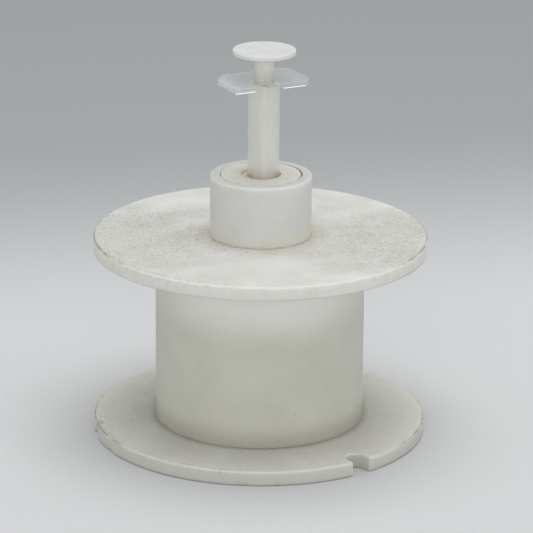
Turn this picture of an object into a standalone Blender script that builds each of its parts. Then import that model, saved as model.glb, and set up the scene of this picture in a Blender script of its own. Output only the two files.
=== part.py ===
"""Film developing reel: a flanged drum with a lift-off upper flange and a turning plunger stem.

Metres, +Z up. The origin is the centre of the bottom flange's underside, and the reel stands on it.
Four bodies move: the reel, the upper flange that lifts off it, the stem that turns in the
reel's core, and the plunger that slides in the stem.
"""
import math

import bmesh
import bpy

MM = 0.001
GAP = 0.3 * MM                      # left between neighbours that rest on or sit in each other

# Flanges and drum
FLANGE_RADIUS = 34.0 * MM
FLANGE_THICKNESS = 3.0 * MM
FILM_GAP = 35.5 * MM                # 35 mm film and its clearance
DRUM_RADIUS = 21.3 * MM
DRUM_BORE_RADIUS = 14.8 * MM
EDGE_ROUND = 0.35 * MM

# Rim notches in the bottom flange, neither evenly spaced nor equally deep
NOTCH_ANGLES = (math.radians(-52.7), math.radians(-168.6), math.radians(69.0))
NOTCH_DEPTHS = (4.0 * MM, 1.6 * MM, 4.0 * MM)
NOTCH_WIDTH = 4.0 * MM

# Core tube, and the bolt that holds it
CORE_RADIUS = 8.2 * MM
CORE_BORE_RADIUS = 4.0 * MM         # for the bolt, and again as a shallow recess at the top
CORE_RECESS_DEPTH = 0.4 * MM
CORE_TOP = 54.2 * MM
BOLT_HEAD_RADIUS = 6.0 * MM
BOLT_HEAD_THICKNESS = 1.0 * MM
BOLT_TOP = 7.0 * MM
BOLT_SLOT_WIDTH = 1.2 * MM
BOLT_SLOT_DEPTH = 0.5 * MM
PIVOT_SOCKET_RADIUS = 2.0 * MM
PIVOT_SOCKET_DEPTH = 2.2 * MM

# Friction ring in the core's groove
RING_WIRE_RADIUS = 0.6 * MM
RING_HEIGHT = 47.0 * MM
RING_RADIUS = 7.6 * MM

# Flange screws and locating pins, on one circle in the drum's wall
FASTENER_CIRCLE = 18.0 * MM
SCREW_COUNT = 3
FIRST_SCREW_ANGLE = math.radians(7.5)
SCREW_RADIUS = 1.2 * MM
SCREW_HEAD_RADIUS = 2.6 * MM
SCREW_HEAD_HEIGHT = 1.4 * MM
SCREW_TOP = 10.0 * MM
SCREW_SLOT_WIDTH = 0.6 * MM
SCREW_SLOT_DEPTH = 0.5 * MM
PIN_ANGLES = (math.radians(30.0), math.radians(210.0))
PIN_RADIUS = 1.0 * MM
PIN_LENGTH = 8.0 * MM
PIN_STANDS_PROUD = 1.7 * MM

# Collar on the upper flange
COLLAR_RADIUS = 10.3 * MM
COLLAR_BORE_RADIUS = 8.4 * MM
COLLAR_SPIGOT_RADIUS = 9.3 * MM

# Stem: it stands a little off centre in the core
STEM_OFFSET = 0.45 * MM
STEM_RADIUS = 3.18 * MM
STEM_HOLE_RADIUS = 3.48 * MM
STEM_BORE_RADIUS = 2.35 * MM
STEM_TOP = 72.65 * MM
STEM_FOOT_THICKNESS = 0.8 * MM
STEM_FOOT_PLUG_LENGTH = 1.6 * MM
PIVOT_PIP_RADIUS = 1.1 * MM
PIVOT_PIP_LENGTH = 1.5 * MM
VENT_RADIUS = 0.4 * MM

# Finger plate: how far it reaches from the stem's axis, its corner cuts and its front recess
PLATE_LEFT_REACH = 8.95 * MM
PLATE_RIGHT_REACH = 8.35 * MM
PLATE_BACK_REACH = 6.1 * MM
PLATE_FRONT_REACH = 5.05 * MM
PLATE_THICKNESS = 1.1 * MM
BACK_LEFT_CUT = 2.6 * MM
FRONT_RIGHT_CUT = 1.7 * MM
BACK_RIGHT_CUT = 1.6 * MM
FRONT_RECESS_LEFT = -4.5 * MM
FRONT_RECESS_RIGHT = 2.0 * MM
FRONT_RECESS_DEPTH = 0.9 * MM
PLATE_HOLE_RADIUS = 2.15 * MM
PLATE_TURN = math.radians(27.5)

# Plunger: a round shank under the knob, and below it a rod with four ribs
SHANK_RADIUS = 1.98 * MM
KNOB_RADIUS = 6.35 * MM
KNOB_THICKNESS = 0.95 * MM
KNOB_EDGE_ROUND = 0.2 * MM
KNOB_TOP = 80.1 * MM
KNOB_SHANK_LENGTH = 5.9 * MM
KNOB_FILLET = 0.4 * MM
RIB_TIP_RADIUS = 2.05 * MM
RIB_THICKNESS = 0.85 * MM
PIN_SPIGOT_RADIUS = 0.75 * MM
SPIGOT_LENGTH = 3.0 * MM
SEAL_RADIUS = 2.25 * MM
SEAL_LENGTH = 3.0 * MM
SEAL_LAND = 0.75 * MM               # each of its two sealing bands
SEAL_SLOPE = 0.45 * MM              # from a band down into the groove between them
PRESS_TRAVEL = 4.5 * MM

LARGE_SEGMENTS = 72
MEDIUM_SEGMENTS = 36
SMALL_SEGMENTS = 16
RING_SEGMENTS = 8
ARC_STEPS = 1
WELD = 0.01 * MM

# Heights that follow from the sizes above
FLANGE_TOP = FLANGE_THICKNESS
UPPER_FLANGE_BOTTOM = FLANGE_TOP + FILM_GAP
UPPER_FLANGE_TOP = UPPER_FLANGE_BOTTOM + FLANGE_THICKNESS
DRUM_BOTTOM = FLANGE_TOP + GAP
DRUM_TOP = UPPER_FLANGE_BOTTOM - GAP
BOLT_HEAD_TOP = GAP + BOLT_HEAD_THICKNESS
STEM_FOOT_BOTTOM = BOLT_TOP + GAP
STEM_BOTTOM = STEM_FOOT_BOTTOM + STEM_FOOT_THICKNESS + GAP
PLATE_BOTTOM = STEM_TOP + GAP
KNOB_BOTTOM = KNOB_TOP - KNOB_THICKNESS
SHANK_BOTTOM = KNOB_BOTTOM - KNOB_SHANK_LENGTH
ROD_TOP = SHANK_BOTTOM - GAP
SEAL_BOTTOM = STEM_BOTTOM + STEM_FOOT_PLUG_LENGTH + PRESS_TRAVEL + 2 * GAP
SEAL_TOP = SEAL_BOTTOM + SEAL_LENGTH


def clear_scene():
    for old in list(bpy.data.objects):
        bpy.data.objects.remove(old, do_unlink=True)


def make_collection(name):
    collection = bpy.data.collections.new(name)
    bpy.context.scene.collection.children.link(collection)
    return collection


def make_material(name, colour, roughness, metallic=0.0, alpha=1.0):
    material = bpy.data.materials.new(name)
    material.use_nodes = True
    shader = material.node_tree.nodes["Principled BSDF"]
    shader.inputs["Base Color"].default_value = (*colour, 1.0)
    shader.inputs["Roughness"].default_value = roughness
    shader.inputs["Metallic"].default_value = metallic
    shader.inputs["Alpha"].default_value = alpha
    return material


def make_object(name, mesh, collection, material=None, location=(0.0, 0.0, 0.0)):
    piece = bpy.data.objects.new(name, mesh)
    piece.location = location
    if material is not None:
        mesh.materials.append(material)
    collection.objects.link(piece)
    return piece


def rounded_profile(corners):
    """Turn (radius, height, corner round) triples of a closed outline into points with arcs."""
    points = []
    for index, (radius, height, corner_round) in enumerate(corners):
        if corner_round == 0.0:
            points.append((radius, height))
            continue
        before = corners[index - 1]
        after = corners[(index + 1) % len(corners)]
        towards_before = unit(before[0] - radius, before[1] - height)
        towards_after = unit(after[0] - radius, after[1] - height)
        for step in range(ARC_STEPS + 1):
            angle = 0.5 * math.pi * step / ARC_STEPS
            reach_before = corner_round * (1.0 - math.sin(angle))
            reach_after = corner_round * (1.0 - math.cos(angle))
            points.append((
                radius + reach_before * towards_before[0] + reach_after * towards_after[0],
                height + reach_before * towards_before[1] + reach_after * towards_after[1],
            ))
    return points


def unit(across, up):
    length = math.hypot(across, up)
    return across / length, up / length


def turned(name, corners, segments, collection, material=None, location=(0.0, 0.0, 0.0)):
    """Turn an outline about Z. It runs down the outer side, and up the bore or along the axis."""
    points = rounded_profile(corners)
    mesh = bpy.data.meshes.new(name)
    edges = [(index, index + 1) for index in range(len(points) - 1)]
    reaches_axis = points[0][0] == 0.0
    if not reaches_axis:
        edges.append((len(points) - 1, 0))
    mesh.from_pydata([(radius, 0.0, height) for radius, height in points], edges, [])
    piece = make_object(name, mesh, collection, material, location)
    screw = piece.modifiers.new("Turn", "SCREW")
    screw.axis = "Z"
    screw.angle = 2.0 * math.pi
    screw.steps = segments
    screw.render_steps = segments
    screw.use_merge_vertices = True
    screw.merge_threshold = WELD
    screw.use_smooth_shade = True
    return piece


def hide_cutter(cutter):
    cutter.hide_render = True
    cutter.display_type = "WIRE"


def cut(piece, cutter):
    hide_cutter(cutter)
    boolean = piece.modifiers.new("Cut " + cutter.name, "BOOLEAN")
    boolean.operation = "DIFFERENCE"
    boolean.solver = "EXACT"
    boolean.object = cutter


def on_circle(radius, angle, height=0.0):
    return radius * math.cos(angle), radius * math.sin(angle), height


def notch_cutter(name, angle, depth, cutters):
    """A U-shaped prism: an upright cylinder whose outer half is drawn out past the rim."""
    shape = bmesh.new()
    half_width = 0.5 * NOTCH_WIDTH
    bmesh.ops.create_cone(
        shape, cap_ends=True, segments=SMALL_SEGMENTS, radius1=half_width, radius2=half_width,
        depth=3.0 * FLANGE_THICKNESS,
    )
    for vertex in shape.verts:
        if vertex.co.x > WELD:
            vertex.co.x += 2.0 * depth
    mesh = bpy.data.meshes.new(name)
    shape.to_mesh(mesh)
    shape.free()
    inner_end = FLANGE_RADIUS - depth + half_width
    cutter = make_object(name, mesh, cutters, location=on_circle(inner_end, angle, 0.5 * FLANGE_THICKNESS))
    cutter.rotation_euler = (0.0, 0.0, angle)
    return cutter


def slot_cutter(name, length, width, depth, location, cutters):
    """A bar that leaves a screwdriver slot in the underside of a head."""
    shape = bmesh.new()
    bmesh.ops.create_cube(shape, size=1.0)
    for vertex in shape.verts:
        vertex.co.x *= length
        vertex.co.y *= width
        vertex.co.z *= 2.0 * depth
    mesh = bpy.data.meshes.new(name)
    shape.to_mesh(mesh)
    shape.free()
    return make_object(name, mesh, cutters, location=location)


def build_bottom_flange(parts, cutters, material):
    recess_radius = BOLT_HEAD_RADIUS + GAP
    recess_top = BOLT_HEAD_TOP + GAP
    flange = turned("bottom_flange", [
        (FLANGE_RADIUS, FLANGE_TOP, EDGE_ROUND),
        (FLANGE_RADIUS, 0.0, EDGE_ROUND),
        (recess_radius, 0.0, 0.0),
        (recess_radius, recess_top, 0.0),
        (CORE_BORE_RADIUS, recess_top, 0.0),
        (CORE_BORE_RADIUS, FLANGE_TOP, 0.0),
    ], LARGE_SEGMENTS, parts, material)
    for index, (angle, depth) in enumerate(zip(NOTCH_ANGLES, NOTCH_DEPTHS)):
        cut(flange, notch_cutter(f"notch_cutter_{index + 1}", angle, depth, cutters))
    for index in range(SCREW_COUNT):
        cut(flange, turned(f"screw_hole_cutter_{index + 1}", [
            (0.0, FLANGE_TOP + GAP, 0.0),
            (SCREW_RADIUS + GAP, FLANGE_TOP + GAP, 0.0),
            (SCREW_RADIUS + GAP, SCREW_HEAD_HEIGHT + GAP, 0.0),
            (SCREW_HEAD_RADIUS + GAP, 0.0, 0.0),
            (SCREW_HEAD_RADIUS + GAP, -GAP, 0.0),
            (0.0, -GAP, 0.0),
        ], SMALL_SEGMENTS, cutters, location=on_circle(FASTENER_CIRCLE, screw_angle(index))))


def screw_angle(index):
    return FIRST_SCREW_ANGLE + index * 2.0 * math.pi / SCREW_COUNT


def hole_cutter(name, radius, bottom, top, angle, cutters):
    return turned(name, [
        (0.0, top, 0.0),
        (radius, top, 0.0),
        (radius, bottom, 0.0),
        (0.0, bottom, 0.0),
    ], SMALL_SEGMENTS, cutters, location=on_circle(FASTENER_CIRCLE, angle))


def build_drum(parts, cutters, material):
    drum = turned("drum", [
        (DRUM_RADIUS, DRUM_TOP, EDGE_ROUND),
        (DRUM_RADIUS, DRUM_BOTTOM, EDGE_ROUND),
        (DRUM_BORE_RADIUS, DRUM_BOTTOM, 0.0),
        (DRUM_BORE_RADIUS, DRUM_TOP, 0.0),
    ], LARGE_SEGMENTS, parts, material)
    for index in range(SCREW_COUNT):
        cut(drum, hole_cutter(
            f"drum_screw_hole_cutter_{index + 1}", SCREW_RADIUS + GAP, DRUM_BOTTOM - GAP, SCREW_TOP + GAP,
            screw_angle(index), cutters))
    for index, angle in enumerate(PIN_ANGLES):
        cut(drum, hole_cutter(
            f"drum_pin_hole_cutter_{index + 1}", PIN_RADIUS + GAP, pin_bottom() - GAP, DRUM_TOP + GAP,
            angle, cutters))


def build_flange_screws(parts, cutters, material):
    for index in range(SCREW_COUNT):
        place = on_circle(FASTENER_CIRCLE, screw_angle(index))
        screw = turned(f"flange_screw_{index + 1}", [
            (0.0, SCREW_TOP, 0.0),
            (SCREW_RADIUS, SCREW_TOP, 0.0),
            (SCREW_RADIUS, SCREW_HEAD_HEIGHT + GAP, 0.0),
            (SCREW_HEAD_RADIUS, GAP, 0.0),
            (0.0, GAP, 0.0),
        ], SMALL_SEGMENTS, parts, material, location=place)
        cut(screw, slot_cutter(
            f"screw_slot_cutter_{index + 1}", 2.0 * SCREW_HEAD_RADIUS + GAP, SCREW_SLOT_WIDTH,
            SCREW_SLOT_DEPTH, (place[0], place[1], GAP), cutters))


def pin_bottom():
    return DRUM_TOP + PIN_STANDS_PROUD - PIN_LENGTH


def build_locating_pins(parts, material):
    pin_top = pin_bottom() + PIN_LENGTH
    for index, angle in enumerate(PIN_ANGLES):
        turned(f"locating_pin_{index + 1}", [
            (0.0, pin_top, 0.0),
            (PIN_RADIUS, pin_top, EDGE_ROUND),
            (PIN_RADIUS, pin_bottom(), 0.0),
            (0.0, pin_bottom(), 0.0),
        ], SMALL_SEGMENTS, parts, material, location=on_circle(FASTENER_CIRCLE, angle))


def build_core_tube(parts, cutters, material):
    """A tube whose upper bore, the stem's hole, lies on the stem's own axis."""
    groove_floor = RING_RADIUS - RING_WIRE_RADIUS - GAP
    groove_half_height = RING_WIRE_RADIUS + GAP
    pilot_radius = STEM_HOLE_RADIUS - STEM_OFFSET - GAP
    recess_floor = CORE_TOP - CORE_RECESS_DEPTH
    core = turned("core_tube", [
        (CORE_RADIUS, CORE_TOP, EDGE_ROUND),
        (CORE_RADIUS, RING_HEIGHT + groove_half_height, 0.0),
        (groove_floor, RING_HEIGHT + groove_half_height, 0.0),
        (groove_floor, RING_HEIGHT - groove_half_height, 0.0),
        (CORE_RADIUS, RING_HEIGHT - groove_half_height, 0.0),
        (CORE_RADIUS, DRUM_BOTTOM, 0.0),
        (CORE_BORE_RADIUS, DRUM_BOTTOM, 0.0),
        (CORE_BORE_RADIUS, STEM_FOOT_BOTTOM, 0.0),
        (pilot_radius, STEM_FOOT_BOTTOM, 0.0),
        (pilot_radius, recess_floor, 0.0),
        (CORE_BORE_RADIUS, recess_floor, 0.0),
        (CORE_BORE_RADIUS, CORE_TOP, 0.0),
    ], MEDIUM_SEGMENTS, parts, material)
    cut(core, turned("stem_hole_cutter", [
        (0.0, CORE_TOP + GAP, 0.0),
        (STEM_HOLE_RADIUS, CORE_TOP + GAP, 0.0),
        (STEM_HOLE_RADIUS, STEM_FOOT_BOTTOM - GAP, 0.0),
        (0.0, STEM_FOOT_BOTTOM - GAP, 0.0),
    ], MEDIUM_SEGMENTS, cutters, location=(STEM_OFFSET, 0.0, 0.0)))


def build_core_bolt(parts, cutters, material):
    shank_radius = CORE_BORE_RADIUS - GAP
    bolt = turned("core_bolt", [
        (PIVOT_SOCKET_RADIUS, BOLT_TOP, 0.0),
        (shank_radius, BOLT_TOP, 0.0),
        (shank_radius, BOLT_HEAD_TOP, 0.0),
        (BOLT_HEAD_RADIUS, BOLT_HEAD_TOP, 0.0),
        (BOLT_HEAD_RADIUS, GAP, EDGE_ROUND),
        (0.0, GAP, 0.0),
        (0.0, BOLT_TOP - PIVOT_SOCKET_DEPTH, 0.0),
        (PIVOT_SOCKET_RADIUS, BOLT_TOP - PIVOT_SOCKET_DEPTH, 0.0),
    ], MEDIUM_SEGMENTS, parts, material)
    cut(bolt, slot_cutter(
        "bolt_slot_cutter", 2.0 * BOLT_HEAD_RADIUS + GAP, BOLT_SLOT_WIDTH, BOLT_SLOT_DEPTH,
        (0.0, 0.0, GAP), cutters))


def build_friction_ring(parts, material):
    bpy.ops.mesh.primitive_torus_add(
        major_segments=MEDIUM_SEGMENTS, minor_segments=RING_SEGMENTS,
        major_radius=RING_RADIUS, minor_radius=RING_WIRE_RADIUS, location=(0.0, 0.0, RING_HEIGHT))
    ring = bpy.context.object
    ring.name = "friction_ring"
    ring.data.name = "friction_ring"
    ring.data.materials.append(material)
    ring.data.shade_smooth()
    for collection in list(ring.users_collection):
        collection.objects.unlink(ring)
    parts.objects.link(ring)


def build_top_flange(parts, cutters, material):
    hole_radius = COLLAR_SPIGOT_RADIUS + GAP
    flange = turned("top_flange", [
        (FLANGE_RADIUS, UPPER_FLANGE_TOP, EDGE_ROUND),
        (FLANGE_RADIUS, UPPER_FLANGE_BOTTOM, EDGE_ROUND),
        (hole_radius, UPPER_FLANGE_BOTTOM, 0.0),
        (hole_radius, UPPER_FLANGE_TOP, 0.0),
    ], LARGE_SEGMENTS, parts, material)
    for index, angle in enumerate(PIN_ANGLES):
        cut(flange, hole_cutter(
            f"flange_pin_hole_cutter_{index + 1}", PIN_RADIUS + GAP, UPPER_FLANGE_BOTTOM - GAP,
            DRUM_TOP + PIN_STANDS_PROUD + GAP, angle, cutters))


def build_collar(parts, material):
    turned("collar", [
        (COLLAR_RADIUS, CORE_TOP, EDGE_ROUND),
        (COLLAR_RADIUS, UPPER_FLANGE_TOP + GAP, 0.0),
        (COLLAR_SPIGOT_RADIUS, UPPER_FLANGE_TOP + GAP, 0.0),
        (COLLAR_SPIGOT_RADIUS, UPPER_FLANGE_BOTTOM, 0.0),
        (COLLAR_BORE_RADIUS, UPPER_FLANGE_BOTTOM, 0.0),
        (COLLAR_BORE_RADIUS, CORE_TOP, EDGE_ROUND),
    ], MEDIUM_SEGMENTS, parts, material)


def build_stem_tube(parts, material, axis):
    tube = turned("stem_tube", [
        (STEM_RADIUS, STEM_TOP, 0.0),
        (STEM_RADIUS, STEM_BOTTOM, 0.0),
        (STEM_BORE_RADIUS, STEM_BOTTOM, 0.0),
        (STEM_BORE_RADIUS, STEM_TOP, 0.0),
    ], MEDIUM_SEGMENTS, parts, material)
    tube.parent = axis


def build_stem_foot(parts, material, axis):
    plug_radius = STEM_BORE_RADIUS - GAP
    foot = turned("stem_foot", [
        (plug_radius, STEM_BOTTOM + STEM_FOOT_PLUG_LENGTH, 0.0),
        (plug_radius, STEM_BOTTOM - GAP, 0.0),
        (STEM_RADIUS, STEM_BOTTOM - GAP, 0.0),
        (STEM_RADIUS, STEM_FOOT_BOTTOM, 0.0),
        (PIVOT_PIP_RADIUS, STEM_FOOT_BOTTOM, 0.0),
        (PIVOT_PIP_RADIUS, STEM_FOOT_BOTTOM - PIVOT_PIP_LENGTH, 0.0),
        (VENT_RADIUS, STEM_FOOT_BOTTOM - PIVOT_PIP_LENGTH, 0.0),
        (VENT_RADIUS, STEM_BOTTOM + STEM_FOOT_PLUG_LENGTH, 0.0),
    ], SMALL_SEGMENTS, parts, material)
    foot.parent = axis


def plate_outline():
    """A rectangle with three cut corners, one square corner and a shallow recess in its front edge."""
    left = -PLATE_LEFT_REACH
    right = PLATE_RIGHT_REACH
    back = PLATE_BACK_REACH
    front = -PLATE_FRONT_REACH
    recess = front + FRONT_RECESS_DEPTH
    return [
        (left, front),
        (FRONT_RECESS_LEFT, front),
        (FRONT_RECESS_LEFT + GAP, recess),
        (FRONT_RECESS_RIGHT - GAP, recess),
        (FRONT_RECESS_RIGHT, front),
        (right - FRONT_RIGHT_CUT, front),
        (right, front + FRONT_RIGHT_CUT),
        (right, back - BACK_RIGHT_CUT),
        (right - BACK_RIGHT_CUT, back),
        (left + BACK_LEFT_CUT, back),
        (left, back - BACK_LEFT_CUT),
    ]


def add_closed_line(curve, points):
    line = curve.splines.new("POLY")
    line.points.add(len(points) - 1)
    for point, (across, along) in zip(line.points, points):
        point.co = (across, along, 0.0, 1.0)
    line.use_cyclic_u = True


def build_finger_plate(parts, material, axis):
    curve = bpy.data.curves.new("finger_plate", "CURVE")
    curve.dimensions = "2D"
    curve.fill_mode = "BOTH"
    curve.extrude = 0.5 * PLATE_THICKNESS
    add_closed_line(curve, plate_outline())
    turn = 2.0 * math.pi / MEDIUM_SEGMENTS
    add_closed_line(curve, [on_circle(PLATE_HOLE_RADIUS, turn * step)[:2] for step in range(MEDIUM_SEGMENTS)])
    curve.materials.append(material)
    plate = bpy.data.objects.new("finger_plate", curve)
    plate.location = (0.0, 0.0, PLATE_BOTTOM + 0.5 * PLATE_THICKNESS)
    plate.rotation_euler = (0.0, 0.0, PLATE_TURN)
    parts.objects.link(plate)
    plate.parent = axis


def build_thumb_knob(parts, material, axis):
    knob = turned("thumb_knob", [
        (0.0, KNOB_TOP, 0.0),
        (KNOB_RADIUS, KNOB_TOP, KNOB_EDGE_ROUND),
        (KNOB_RADIUS, KNOB_BOTTOM, KNOB_EDGE_ROUND),
        (SHANK_RADIUS, KNOB_BOTTOM, KNOB_FILLET),
        (SHANK_RADIUS, SHANK_BOTTOM, 0.0),
        (PIN_SPIGOT_RADIUS + GAP, SHANK_BOTTOM, 0.0),
        (PIN_SPIGOT_RADIUS + GAP, SHANK_BOTTOM + SPIGOT_LENGTH + GAP, 0.0),
        (0.0, SHANK_BOTTOM + SPIGOT_LENGTH + GAP, 0.0),
    ], MEDIUM_SEGMENTS, parts, material)
    knob.parent = axis


def cross_outline():
    """A plus sign with four equal arms, as its twelve corners in order."""
    half = 0.5 * RIB_THICKNESS
    arm = [(RIB_TIP_RADIUS, half), (half, half), (half, RIB_TIP_RADIUS)]
    points = []
    for quarter in range(4):
        for across, along in arm:
            for turn in range(quarter):
                across, along = -along, across
            points.append((across, along))
    return points


def ribbed_bar(name, bottom, top, parts, material):
    """The plus sign drawn up from bottom to top, with its caps joined to its sides."""
    curve = bpy.data.curves.new(name, "CURVE")
    curve.dimensions = "2D"
    curve.fill_mode = "BOTH"
    curve.extrude = 0.5 * (top - bottom)
    add_closed_line(curve, cross_outline())
    guide = bpy.data.objects.new(name + "_line", curve)
    guide.location = (0.0, 0.0, 0.5 * (top + bottom))
    bpy.context.scene.collection.objects.link(guide)
    bpy.context.view_layer.update()
    mesh = bpy.data.meshes.new_from_object(guide.evaluated_get(bpy.context.evaluated_depsgraph_get()))
    shape = bmesh.new()
    shape.from_mesh(mesh)
    bmesh.ops.remove_doubles(shape, verts=shape.verts, dist=WELD)
    shape.to_mesh(mesh)
    shape.free()
    bar = make_object(name, mesh, parts, material)
    bar.matrix_world = guide.matrix_world
    bpy.data.objects.remove(guide)
    return bar


def build_plunger_rod(parts, cutters, material, axis):
    """Four ribs, and a thin pin through them that ends in a spigot above and below."""
    pin_top = ROD_TOP + SPIGOT_LENGTH
    pin_bottom_end = SEAL_BOTTOM + 2.0 * GAP
    rod = ribbed_bar("plunger_rod", SEAL_TOP + GAP, ROD_TOP, parts, material)
    pin = turned("plunger_rod_pin", [
        (0.0, pin_top, 0.0),
        (PIN_SPIGOT_RADIUS, pin_top, 0.0),
        (PIN_SPIGOT_RADIUS, pin_bottom_end, 0.0),
        (0.0, pin_bottom_end, 0.0),
    ], SMALL_SEGMENTS, cutters)
    hide_cutter(pin)
    union = rod.modifiers.new("Add pin", "BOOLEAN")
    union.operation = "UNION"
    union.solver = "EXACT"
    union.object = pin
    pin.parent = axis
    rod.parent = axis


def build_piston_seal(parts, material, axis):
    seal = turned("piston_seal", [
        (SEAL_RADIUS, SEAL_TOP, 0.0),
        (SEAL_RADIUS, SEAL_TOP - SEAL_LAND, 0.0),
        (SEAL_RADIUS - GAP, SEAL_TOP - SEAL_LAND - SEAL_SLOPE, 0.0),
        (SEAL_RADIUS - GAP, SEAL_BOTTOM + SEAL_LAND + SEAL_SLOPE, 0.0),
        (SEAL_RADIUS, SEAL_BOTTOM + SEAL_LAND, 0.0),
        (SEAL_RADIUS, SEAL_BOTTOM, 0.0),
        (PIN_SPIGOT_RADIUS + GAP, SEAL_BOTTOM, 0.0),
        (PIN_SPIGOT_RADIUS + GAP, SEAL_TOP, 0.0),
    ], SMALL_SEGMENTS, parts, material)
    seal.parent = axis


def main():
    clear_scene()
    parts = make_collection("film_developing_reel")
    cutters = make_collection("cutters")

    milky = make_material("milky_plastic", (0.80, 0.79, 0.74), 0.45)
    translucent = make_material("translucent_plastic", (0.72, 0.71, 0.66), 0.35, alpha=0.8)
    clear = make_material("clear_plastic", (0.85, 0.86, 0.86), 0.08, alpha=0.35)
    white = make_material("white_plastic", (0.88, 0.88, 0.87), 0.40)
    rubber = make_material("grey_rubber", (0.12, 0.12, 0.12), 0.70)
    steel = make_material("stainless_steel", (0.60, 0.60, 0.59), 0.30, metallic=1.0)

    stem_axis = bpy.data.objects.new("stem_axis", None)
    stem_axis.location = (STEM_OFFSET, 0.0, 0.0)
    parts.objects.link(stem_axis)

    build_bottom_flange(parts, cutters, milky)
    build_drum(parts, cutters, milky)
    build_flange_screws(parts, cutters, steel)
    build_locating_pins(parts, steel)
    build_core_tube(parts, cutters, milky)
    build_core_bolt(parts, cutters, milky)
    build_friction_ring(parts, rubber)

    build_top_flange(parts, cutters, milky)
    build_collar(parts, milky)

    build_stem_tube(parts, translucent, stem_axis)
    build_stem_foot(parts, translucent, stem_axis)
    build_finger_plate(parts, clear, stem_axis)

    build_thumb_knob(parts, white, stem_axis)
    build_plunger_rod(parts, cutters, white, stem_axis)
    build_piston_seal(parts, rubber, stem_axis)


main()
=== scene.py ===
"""Looks of the film developing reel: fine shapes, materials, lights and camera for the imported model."""

import math
import random

import bmesh
import bpy
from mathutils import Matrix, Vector, noise


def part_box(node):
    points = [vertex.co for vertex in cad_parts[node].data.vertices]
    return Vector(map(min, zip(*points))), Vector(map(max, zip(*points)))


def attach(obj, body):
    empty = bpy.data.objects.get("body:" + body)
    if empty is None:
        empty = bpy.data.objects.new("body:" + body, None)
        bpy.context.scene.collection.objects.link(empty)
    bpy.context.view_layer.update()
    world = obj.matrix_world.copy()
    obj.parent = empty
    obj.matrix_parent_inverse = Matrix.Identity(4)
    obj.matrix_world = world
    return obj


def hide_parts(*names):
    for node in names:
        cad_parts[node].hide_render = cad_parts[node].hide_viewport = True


MM = 0.001

# Fine shapes
LARGE_SEGMENTS = 480
MEDIUM_SEGMENTS = 180
SMALL_SEGMENTS = 72
ROUND_STEPS = 5
LONGEST_STEP = 1.0 * MM
EDGE_ROUND = 0.25 * MM
FLANGE_ROUND = 0.45 * MM
FINE_ROUND = 0.15 * MM
TOUCH = 0.02 * MM                   # left where pieces on different bodies meet
WELD = 0.001 * MM                   # points closer than this become one
SHARP_ANGLE = math.radians(38.0)    # edges that turn further than this stay sharp

# Bottom flange's notches
NOTCH_ANGLES = (math.radians(-52.7), math.radians(-168.6), math.radians(69.0))
NOTCH_RADIUS = 2.0 * MM
NOTCH_DEPTHS = (4.0 * MM, 1.6 * MM, 4.0 * MM)
NOTCH_STEPS = 24
NOTCH_INSIDE = 0.999                # first and last step of a notch, as shares of its half width
NOTCH_OUTSIDE = 1.004               # steps on the untouched rim next to it
NOTCH_CLEARED = 1.05                # even steps closer than this are left out

# Holes in the flanges, all from beneath
FASTENER_CIRCLE = 18.0 * MM
FIRST_SCREW_ANGLE = math.radians(7.5)
SCREW_COUNT = 3
SCREW_HOLE_RADIUS = 1.5 * MM
SCREW_HEAD_HOLE_RADIUS = 2.9 * MM
SCREW_HEAD_HEIGHT = 1.7 * MM
RECESS_RADIUS = 6.3 * MM
RECESS_HEIGHT = 1.6 * MM
PINS = ("locating_pin_1", "locating_pin_2")
PIN_CLEARANCE = 0.2 * MM
PAST_FACE = 1.0 * MM                # how far a cutter reaches past the face it opens

# Turned pieces
DRUM_BORE_RADIUS = 14.8 * MM
COLLAR_BORE_RADIUS = 8.3 * MM
COLLAR_SPIGOT_RADIUS = 9.3 * MM
CORE_BORE_RADIUS = 4.0 * MM
CORE_RECESS_DEPTH = 0.35 * MM
STEM_HOLE_RADIUS = 3.28 * MM
GROOVE_RADIUS = 6.7 * MM
GROOVE_HALF_HEIGHT = 0.9 * MM
STEM_BORE_RADIUS = 2.35 * MM
NECK_RADIUS = 1.98 * MM
NECK_BOSS_RADIUS = 2.12 * MM
NECK_BOSS_LENGTH = 0.8 * MM
KNOB_THICKNESS = 0.95 * MM
KNOB_DISH = 0.06 * MM
KNOB_DISH_SHARE = 0.80              # of the knob's radius, where its flat middle ends
KNOB_LIP_SHARE = 0.90               # and where its lip begins
SOCKET_RADIUS = 1.05 * MM
SOCKET_DEPTH = 3.3 * MM

# Finger plate
PLATE_LEFT_REACH = 8.95 * MM
PLATE_RIGHT_REACH = 8.35 * MM
PLATE_BACK_REACH = 6.1 * MM
PLATE_FRONT_REACH = 5.05 * MM
BACK_LEFT_CUT = 2.6 * MM
FRONT_RIGHT_CUT = 1.7 * MM
BACK_RIGHT_CUT = 1.6 * MM
FRONT_RECESS_LEFT = -4.5 * MM
FRONT_RECESS_RIGHT = 2.0 * MM
FRONT_RECESS_DEPTH = 0.9 * MM
PLATE_HOLE_RADIUS = 2.15 * MM
PLATE_TURN = math.radians(27.5)
PLATE_EDGE = 0.12 * MM
PLATE_WELD = 0.005 * MM
CHIP_DEPTH = 0.35 * MM
CHIPPED_FROM = -6.5 * MM
CHIP_SEED = 21

# Wear: how far surfaces wander from true, and small dents along the rims
WANDER = 0.05 * MM
WANDER_GRAIN = 6.0 * MM
RIM_NICKS = 26
NICK_REACH = (0.5 * MM, 1.3 * MM)
NICK_DEPTH = (0.06 * MM, 0.24 * MM)

# Marks on the rims, as bands of angle about Z in degrees: start, full, end, gone
LEFT_FRONT = (-176.0, -160.0, -108.0, -88.0)
RIGHT_FRONT = (-48.0, -25.0, 10.0, 40.0)
RIGHT_BACK = (-18.0, -2.0, 40.0, 70.0)

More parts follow.
